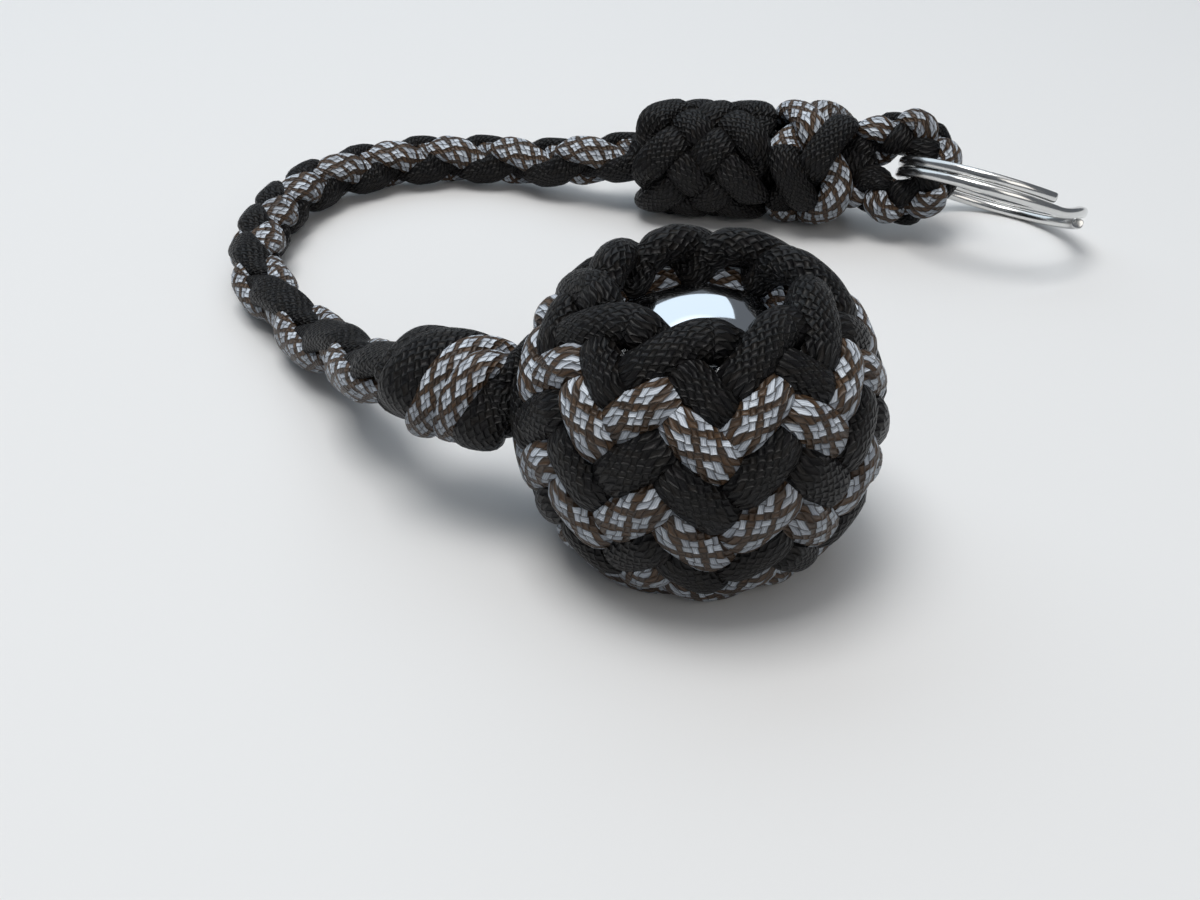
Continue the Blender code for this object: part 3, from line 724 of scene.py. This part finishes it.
def cover_path(colour_name):
    """A cover cord's middle line: down and up between the rims, one column and one row each step,
    and in and out between the two levels. A rim is rounded by a parabola. Its width follows how
    close its neighbours lie."""
    begin, end = NECK_STEPS[colour_name]
    whole = np.arange(math.floor(begin), math.ceil(end) + 2)
    steps = np.arange(begin, end + 0.01, COVER_STEP)
    level = eased(steps, whole, weave_levels(whole, colour_name))
    within = steps % (2 * LEG)
    from_top = np.minimum(within, 2 * LEG - within)
    from_bight = np.minimum(from_top, LEG - from_top)
    parabola = from_bight**2 / (2 * RIM_ROUNDING) + RIM_ROUNDING / 2
    rounded = np.where(from_bight < RIM_ROUNDING, parabola, from_bight)
    row = TOP_ROW[colour_name] - np.where(from_top < LEG / 2, rounded, LEG - rounded)
    latitude = row_latitude(row)
    azimuth = np.radians(COLUMN_DEG * (NECK_COLUMN + steps) + FIRST_COLUMN_DEG)
    radius = between(UNDER_RADIUS, OVER_RADIUS, (level + 1) / 2)
    flat = np.cos(latitude)
    outward = np.stack(
        [flat * np.sin(azimuth), -flat * np.cos(azimuth), np.sin(latitude)], axis=-1
    )
    column_step = math.radians(COLUMN_DEG) * flat * radius
    row_step = np.abs(row_latitude(row + 0.5) - row_latitude(row - 0.5)) * radius
    apart = 2 * column_step * row_step / np.hypot(column_step, row_step)
    share = np.clip((level + 1) / 2, 0, 1)
    least, most = between(*LEAST_WIDTHS, share), between(UNDER_SECTION[0], OVER_SECTION[0], share)
    width = np.clip(CLOSENESS * apart, least, most)
    thickness = between(UNDER_SECTION[1], OVER_SECTION[1], share)
    return BALL + radius[:, None] * outward, outward, width, thickness


def collar_axes():
    """The collar's axis, away from the ball, and the ways to the front and up, square to it."""
    along = unit(LANYARD[0] - COLLAR_BASE)
    front = unit(np.cross(along, (0, 0, 1)))
    front = front if front[1] < 0 else -front
    up = unit(np.cross(front, along))
    return along, front, up if up[2] > 0 else -up


def bend(start, start_way, end, end_way, count, pull):
    """Points on a cubic bend between two ends, whose handles are a share of the distance."""
    reach = pull * np.linalg.norm(end - start)
    a, b, c, d = start, start + reach * start_way, end - reach * end_way, end
    t = np.linspace(0, 1, count + 2)[1:-1, None]
    return (1 - t) ** 3 * a + 3 * t * (1 - t) ** 2 * b + 3 * t**2 * (1 - t) * c + t**3 * d


def make_cover_cord(colour_name):
    """One cord of the cover, with its two ends turned into the neck of the collar."""
    path, outward, width, thickness = cover_path(colour_name)
    along, front, up = collar_axes()
    side = up if colour_name == "black" else -up
    entry = COLLAR_BASE + CORE_STRAND_APART * (side + front)
    leave = COLLAR_BASE + CORE_STRAND_APART * (side - front)
    ways = unit(np.gradient(path, axis=0))
    pull = NECK_PULL[colour_name]
    first = bend(entry, -along, path[0], ways[0], NECK_POINTS, pull)
    last = bend(path[-1], ways[-1], leave, along, NECK_POINTS, pull)
    line = np.vstack([entry, first, path, last, leave])
    added = NECK_POINTS + 1
    outward = np.vstack([[outward[0]] * added, outward, [outward[-1]] * added])
    neck = np.linspace(0, 1, added)
    width, thickness = (
        np.concatenate(
            [between(NECK_CORD, size[0], neck), size, between(size[-1], NECK_CORD, neck)]
        )
        for size in (width, thickness)
    )
    name = f"cover_{colour_name}_paracord"
    cord = cord_mesh(name, line, outward, width, thickness, fullness=COVER_FULLNESS)
    dress(cord, colour_name, f"cover_{colour_name}_cord")


for cover_colour in ("black", "patterned"):
    make_cover_cord(cover_colour)

# Collar knot.
# The four cord ends leave the cover through a collar: four wraps wind side by side round them and
# tuck in under each other at both ends.
COLLAR_LENGTH = 11.0 * mm
COLLAR_PITCH = 13.3 * mm
COLLAR_TOP_ANGLE_DEG = 50.0
WRAP_ORDER = (("patterned", 2), ("patterned", 1), ("black", 2), ("black", 1))
WRAP_SECTIONS = {"black": (5.6 * mm, 3.3 * mm), "patterned": (3.7 * mm, 2.9 * mm)}
WRAP_RADII = {"black": 4.5 * mm, "patterned": 4.3 * mm}
WRAP_START = 0.9 * mm
WRAP_TRAVEL = (-1.6 * mm, 10.6 * mm)
WRAP_POINTS = 100
WRAP_FULLNESS = 2.4
TUCKED_RADIUS = 2.6 * mm
TUCKED_SHARE = 0.2
NECK_OVERLAP = 1.0 * mm
STRAIGHT_POINTS = 12


def make_wraps():
    """Four wraps, a quarter turn apart: each turns round the collar's axis as it moves along it,
    and dips towards the axis at both ends as half a cosine."""
    along, front, up = collar_axes()
    share = np.linspace(0, 1, WRAP_POINTS)
    travel = between(*WRAP_TRAVEL, share)
    ends = np.clip(np.minimum(share, 1 - share) / TUCKED_SHARE, 0, 1)
    for k, (colour_name, number) in enumerate(WRAP_ORDER):
        angle = math.radians(COLLAR_TOP_ANGLE_DEG) - 0.5 * math.pi * k
        angle = angle - 2 * math.pi * (travel - WRAP_START) / COLLAR_PITCH
        outward = np.outer(np.cos(angle), up) + np.outer(np.sin(angle), -front)
        radius = between(TUCKED_RADIUS, WRAP_RADII[colour_name], half_cosine(ends))
        line = COLLAR_BASE + np.outer(travel, along) + radius[:, None] * outward
        name, section = f"{colour_name}_wrap_{number}", WRAP_SECTIONS[colour_name]
        wrap = cord_mesh(name, line, outward, *section, fullness=WRAP_FULLNESS)
        dress(wrap, colour_name, f"collar_{colour_name}_wrap_{number}")


def make_neck_strands():
    """The four strands that run straight through the collar, from the cover into the braid."""
    along, front, up = collar_axes()
    reach = np.linspace(0, COLLAR_LENGTH + NECK_OVERLAP, STRAIGHT_POINTS)
    for colour_name, side in (("black", up), ("patterned", -up)):
        for number, way in ((1, -front), (2, front)):
            line = COLLAR_BASE + CORE_STRAND_APART * (side + way) + np.outer(reach, along)
            strand = cord_mesh(f"{colour_name}_neck_{number}", line, up, NECK_CORD, NECK_CORD)
            dress(strand, colour_name, f"neck_{colour_name}_strand_{number}")


make_wraps()
make_neck_strands()

# Woven band.
# A black Turk's head, five leads by six bights, is worked tight round the braid where it comes
# back to the ring. The braid's strands run on inside it and inside the knot beside it.
BAND_MIDDLE = under_ball(6.3, 82.8, 8.75)
BAND_LENGTH = 20.2 * mm
BAND_LEADS = 5
BAND_BIGHTS = 6
BAND_SECTION = (5.0 * mm, 2.9 * mm)
BAND_TRAVEL = BAND_LENGTH - BAND_SECTION[0] + 0.6 * mm
BAND_RADII = (5.4 * mm, 7.4 * mm)
BAND_FULLNESS = 2.3
KNOT_LENGTH = 12.0 * mm
CORE_DIAMETER = 8.6 * mm
CORE_INSET = 2.0 * mm
CORE_AROUND = 24
KNOT_DOME = 0.1
LEG_POINTS = 40


def woven_path(middle, leads, bights, length, radii, phase, over_first, first_leg, legs):
    """A cord's line in a woven band: its turn grows evenly, it goes from rim to rim as nine tenths
    of a cosine with a ninth of one three times as fast, and its radius swings out and in by turns
    at each crossing."""
    u = np.linspace(first_leg, first_leg + legs, LEG_POINTS * legs + 1)
    stops = np.concatenate([[0.0], np.arange(1, leads) / leads, [1.0]])
    phases = np.concatenate([[0.5], np.arange(1, leads), [leads - 0.5]])
    level = held(np.cos(math.pi * np.interp(u % 1, stops, phases))) * (-1 if over_first else 1)
    angle = phase + math.pi * leads / bights * u
    travel = (np.cos(math.pi * u) + np.cos(3 * math.pi * u) / 9) * 0.9 * length / 2
    radius = between(*radii, (level + 1) / 2)
    side = unit(np.cross(END_AXIS, (0, 0, 1)))
    outward = np.outer(np.cos(angle), (0, 0, 1)) + np.outer(np.sin(angle), side)
    return middle + np.outer(travel, END_AXIS) + radius[:, None] * outward, outward


band_lines = woven_path(
    BAND_MIDDLE, BAND_LEADS, BAND_BIGHTS, BAND_TRAVEL, BAND_RADII,
    phase=0.0, over_first=False, first_leg=0, legs=2 * BAND_BIGHTS,
)
band = cord_mesh(
    "turks_head", *band_lines, *BAND_SECTION, fullness=BAND_FULLNESS, dome=KNOT_DOME
)
dress(band, "black", "woven_band_cord")
core_ends = CORE_INSET - BAND_LENGTH / 2, BAND_LENGTH / 2 + KNOT_LENGTH
core_path = BAND_MIDDLE + np.outer(np.linspace(*core_ends, STRAIGHT_POINTS), END_AXIS)
core = cord_mesh(
    "braid_inside", core_path, (0, 0, 1), CORE_DIAMETER, CORE_DIAMETER, around=CORE_AROUND
)
dress(core, "black", "inner_core")

# Diamond knot.
# The four strands of the braid are tied into one knot beside the band before they form the eye:
# each goes over and under its neighbours from the eye's side to the band and back.
KNOT_MIDDLE = BAND_MIDDLE + END_AXIS * (BAND_LENGTH + KNOT_LENGTH) / 2
KNOT_LEADS = 3
KNOT_BIGHTS = 4
KNOT_SECTION = (4.7 * mm, 3.2 * mm)
KNOT_TRAVEL = KNOT_LENGTH - KNOT_SECTION[0] + 0.8 * mm
KNOT_RADII = (5.4 * mm, 7.6 * mm)
KNOT_PHASE_DEG = 101.5
KNOT_ORDER = (("black", 1), ("patterned", 1), ("black", 2), ("patterned", 2))

for bight, (strand_colour, number) in enumerate(KNOT_ORDER):
    knot_lines = woven_path(
        KNOT_MIDDLE, KNOT_LEADS, KNOT_BIGHTS, KNOT_TRAVEL, KNOT_RADII,
        phase=math.radians(KNOT_PHASE_DEG), over_first=True, first_leg=2 * bight + 1, legs=2,
    )
    name = f"diamond_{strand_colour}_{number}"
    strand = cord_mesh(name, *knot_lines, *KNOT_SECTION, dome=KNOT_DOME)
    dress(strand, strand_colour, f"knot_{strand_colour}_strand_{number}")

# Eye.
# The braid goes on from the knot, round in a small eye and back into the knot, and holds the ring.
EYE_HOLE = under_ball(34.8, 75.6, 10.2)
EYE_HOLE_RADIUS = 1.9 * mm
EYE_LOOP_RADIUS = 5.0 * mm
EYE_ARC_DEG = 122.0
EYE_ARC_POINTS = 90
EYE_LEG = 3.1 * mm
EYE_LEG_POINTS = 26
EYE_PULL = 0.45
EYE_ROOT = 2.0 * mm
EYE_BUMP_DEG = 62.0
EYE_FIRST_BUMP_DEG = 77.0
EYE_OUTER = (2.4 * mm, 4.0 * mm, 2.8 * mm)
EYE_INNER = (0.9 * mm, 3.4 * mm, 2.0 * mm)
EYE_ROWS_DEG = (40.0, 40.0)
RING_THROUGH = unit((0.190, 0.872, -0.451))


def eye_path():
    """The eye's middle line, out of the knot, round the hole and back beside itself, and how far
    along it the round part begins."""
    knot_end = KNOT_MIDDLE + END_AXIS * KNOT_LENGTH / 2
    outward = EYE_HOLE - knot_end
    outward = unit(outward - np.dot(outward, RING_THROUGH) * RING_THROUGH)
    up = np.cross(outward, RING_THROUGH)
    up = up if up[2] > 0 else -up
    angle = np.radians(np.linspace(EYE_ARC_DEG, -EYE_ARC_DEG, EYE_ARC_POINTS))
    circle = np.outer(np.cos(angle), outward) + np.outer(np.sin(angle), up)
    arc = EYE_HOLE + EYE_LOOP_RADIUS * circle
    sideways = unit(up - np.dot(up, END_AXIS) * END_AXIS)
    root = knot_end - EYE_ROOT * END_AXIS
    start, end = root + EYE_LEG * sideways, root - EYE_LEG * sideways
    lead = bend(start, END_AXIS, arc[0], unit(arc[1] - arc[0]), EYE_LEG_POINTS, EYE_PULL)
    back = bend(arc[-1], unit(arc[-1] - arc[-2]), end, -END_AXIS, EYE_LEG_POINTS, EYE_PULL)
    arc_start = arc_lengths(np.vstack([start, lead, arc[:1]]))[-1]
    return np.vstack([start, lead, arc, back, end]), arc_start


eye_line, eye_arc_start = eye_path()
eye_angle_deg = EYE_ARC_DEG - np.degrees((arc_lengths(eye_line) - eye_arc_start) / EYE_LOOP_RADIUS)
eye_turned = math.pi * (0.5 + (EYE_FIRST_BUMP_DEG - eye_angle_deg) / EYE_BUMP_DEG)
make_braid(
    "eye", "eye_braid", eye_line, RING_THROUGH, eye_turned, EYE_ROWS_DEG, EYE_OUTER, EYE_INNER,
    hole=(EYE_HOLE, RING_THROUGH, EYE_HOLE_RADIUS),
)

# Split ring.
# One flattened wire of spring steel, wound in two coils that step over into each other, hardened
# and nickel plated. It hangs in the eye.
RING_DIAMETER = 28.0 * mm
RING_WIRE = (1.6 * mm, 1.45 * mm)
RING_OUTWARD = unit((0.940, -0.291, -0.178))
RING_TURN_DEG = (178.0, 846.0)
RING_POINTS = 560
COIL_APART = 1.55 * mm
COIL_STEP_DEG = 492.0
COIL_STEP_WIDTH_DEG = 40.0
RING_FULLNESS = 2.7
RING_DOME = 0.05
NICKEL_TINT = (0.70, 0.70, 0.69, 1.0)
NICKEL_LINES = (700.0, 3.0)
NICKEL_ROUGHNESS = (0.10, 0.26)


def make_ring():
    """Two coils: a circle's points, moved from one level to the other within the step by the cubic
    that starts and ends flat."""
    through = unit(RING_THROUGH - np.dot(RING_THROUGH, RING_OUTWARD) * RING_OUTWARD)
    normal = np.cross(RING_OUTWARD, through)
    radius = (RING_DIAMETER - RING_WIRE[0]) / 2
    centre = EYE_HOLE + radius * RING_OUTWARD
    degrees = np.linspace(*RING_TURN_DEG, RING_POINTS)
    angle = np.radians(degrees)
    stepped = np.clip((degrees - COIL_STEP_DEG) / COIL_STEP_WIDTH_DEG, 0, 1)
    level = stepped * stepped * (3 - 2 * stepped) * 2 - 1
    circle = np.outer(np.cos(angle), RING_OUTWARD) + np.outer(np.sin(angle), through)
    path = centre - radius * circle + np.outer(level * COIL_APART / 2, normal)
    ring = cord_mesh(
        "key_ring", path, normal, *RING_WIRE, fullness=RING_FULLNESS, dome=RING_DOME
    )
    nickel = metal_finish("bright_nickel", NICKEL_TINT, NICKEL_LINES, NICKEL_ROUGHNESS)
    ring.data.materials.append(nickel)
    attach(ring, "ring")
    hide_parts("split_ring")


make_ring()
